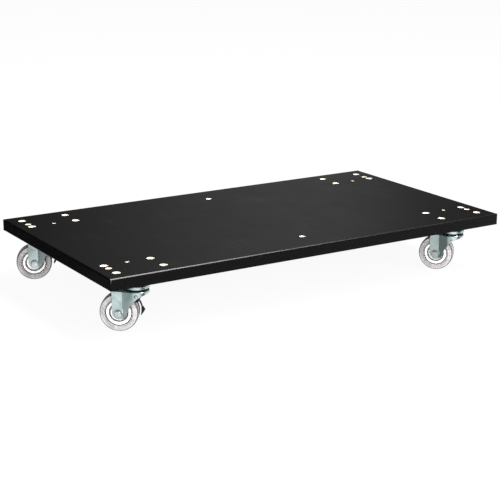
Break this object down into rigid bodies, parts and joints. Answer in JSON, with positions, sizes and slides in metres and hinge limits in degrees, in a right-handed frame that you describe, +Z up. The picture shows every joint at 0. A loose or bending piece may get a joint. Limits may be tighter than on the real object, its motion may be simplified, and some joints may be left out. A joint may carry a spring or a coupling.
{
  "type": "furniture dolly",
  "caption": "Low rectangular board dolly: black laminated deck drilled at its corners, on swivel casters, two of them with wheel brakes.",
  "frame": {"origin": "on the floor under the middle of the deck", "axes": "+X along the deck's length towards the pair of casters without brakes, -Y towards the front long side, +Z up"},
  "size_m": [1, 0.543, 0.136],
  "materials": {
    "wood_core": "raw wood-based board, seen only inside the drilled holes",
    "black_laminate": "satin black melamine film with a very fine grain",
    "black_edging": "black plastic edge band with a glossier rounded edge",
    "zinc_plated_sheet": "bright zinc plating, blue-clear passivated, pressed sheet",
    "plain_steel": "plain steel with a film of grease",
    "zinc_fasteners": "zinc-plated fasteners",
    "white_plastic": "white moulded plastic",
    "grey_tyre": "light warm-grey non-marking rubber",
    "black_plastic": "black moulded plastic"
  },
  "bodies": {
    "deck": {"deck_core": "wood_core", "top_laminate": "black_laminate", "underside_laminate": "black_laminate", "edge_band_front": "black_edging", "edge_band_rear": "black_edging", "edge_band_left": "black_edging", "edge_band_right": "black_edging", "front_left_mount_plate": "zinc_plated_sheet", "front_left_kingpin": "plain_steel", "front_left_screw_1": "zinc_fasteners", "front_left_screw_2": "zinc_fasteners", "front_left_screw_3": "zinc_fasteners", "front_left_screw_4": "zinc_fasteners", "rear_left_mount_plate": "zinc_plated_sheet", "rear_left_kingpin": "plain_steel", "rear_left_screw_1": "zinc_fasteners", "rear_left_screw_2": "zinc_fasteners", "rear_left_screw_3": "zinc_fasteners", "rear_left_screw_4": "zinc_fasteners", "front_right_mount_plate": "zinc_plated_sheet", "front_right_kingpin": "plain_steel", "front_right_screw_1": "zinc_fasteners", "front_right_screw_2": "zinc_fasteners", "front_right_screw_3": "zinc_fasteners", "front_right_screw_4": "zinc_fasteners", "rear_right_mount_plate": "zinc_plated_sheet", "rear_right_kingpin": "plain_steel", "rear_right_screw_1": "zinc_fasteners", "rear_right_screw_2": "zinc_fasteners", "rear_right_screw_3": "zinc_fasteners", "rear_right_screw_4": "zinc_fasteners"},
    "front_left_fork_body": {"front_left_fork": "zinc_plated_sheet", "front_left_ball_ring": "plain_steel", "front_left_axle_bolt": "zinc_fasteners", "front_left_axle_nut": "zinc_fasteners", "front_left_brake_pivot_pin": "zinc_fasteners"},
    "front_left_wheel_body": {"front_left_wheel_rim": "white_plastic", "front_left_tyre": "grey_tyre"},
    "front_left_brake_body": {"front_left_brake_pedal": "black_plastic"},
    "rear_left_fork_body": {"rear_left_fork": "zinc_plated_sheet", "rear_left_ball_ring": "plain_steel", "rear_left_axle_bolt": "zinc_fasteners", "rear_left_axle_nut": "zinc_fasteners", "rear_left_brake_pivot_pin": "zinc_fasteners"},
    "rear_left_wheel_body": {"rear_left_wheel_rim": "white_plastic", "rear_left_tyre": "grey_tyre"},
    "rear_left_brake_body": {"rear_left_brake_pedal": "black_plastic"},
    "front_right_fork_body": {"front_right_fork": "zinc_plated_sheet", "front_right_ball_ring": "plain_steel", "front_right_axle_bolt": "zinc_fasteners", "front_right_axle_nut": "zinc_fasteners"},
    "front_right_wheel_body": {"front_right_wheel_rim": "white_plastic", "front_right_tyre": "grey_tyre"},
    "rear_right_fork_body": {"rear_right_fork": "zinc_plated_sheet", "rear_right_ball_ring": "plain_steel", "rear_right_axle_bolt": "zinc_fasteners", "rear_right_axle_nut": "zinc_fasteners"},
    "rear_right_wheel_body": {"rear_right_wheel_rim": "white_plastic", "rear_right_tyre": "grey_tyre"}
  },
  "joints": [
    {"name": "front_left_swivel", "type": "hinge", "parent": "deck", "child": "front_left_fork_body", "pos_m": [-0.414, -0.2135, 0.0893], "axis": [0, 0, 1], "continuous": true},
    {"name": "front_left_wheel_spin", "type": "hinge", "parent": "front_left_fork_body", "child": "front_left_wheel_body", "pos_m": [-0.44137, -0.1925, 0.04], "axis": [0.6088, 0.7934, 0], "continuous": true},
    {"name": "front_left_brake_release", "type": "hinge", "parent": "front_left_fork_body", "child": "front_left_brake_body", "pos_m": [-0.41122, -0.21563, 0.0785], "axis": [-0.6088, -0.7934, 0], "range_deg": [0, 28]},
    {"name": "rear_left_swivel", "type": "hinge", "parent": "deck", "child": "rear_left_fork_body", "pos_m": [-0.414, 0.2135, 0.0893], "axis": [0, 0, 1], "continuous": true},
    {"name": "rear_left_wheel_spin", "type": "hinge", "parent": "rear_left_fork_body", "child": "rear_left_wheel_body", "pos_m": [-0.44547, 0.22764, 0.04], "axis": [0.4099, 0.9121, 0], "continuous": true},
    {"name": "rear_left_brake_release", "type": "hinge", "parent": "rear_left_fork_body", "child": "rear_left_brake_body", "pos_m": [-0.41081, 0.21207, 0.0785], "axis": [-0.4099, -0.9121, 0], "range_deg": [0, 28]},
    {"name": "front_right_swivel", "type": "hinge", "parent": "deck", "child": "front_right_fork_body", "pos_m": [0.414, -0.2135, 0.0893], "axis": [0, 0, 1], "continuous": true},
    {"name": "front_right_wheel_spin", "type": "hinge", "parent": "front_right_fork_body", "child": "front_right_wheel_body", "pos_m": [0.39252, -0.1865, 0.04], "axis": [0.7826, 0.6225, 0], "continuous": true},
    {"name": "rear_right_swivel", "type": "hinge", "parent": "deck", "child": "rear_right_fork_body", "pos_m": [0.414, 0.2135, 0.0893], "axis": [0, 0, 1], "continuous": true},
    {"name": "rear_right_wheel_spin", "type": "hinge", "parent": "rear_right_fork_body", "child": "rear_right_wheel_body", "pos_m": [0.38574, 0.23329, 0.04], "axis": [0.5736, 0.8192, 0], "continuous": true}
  ]
}
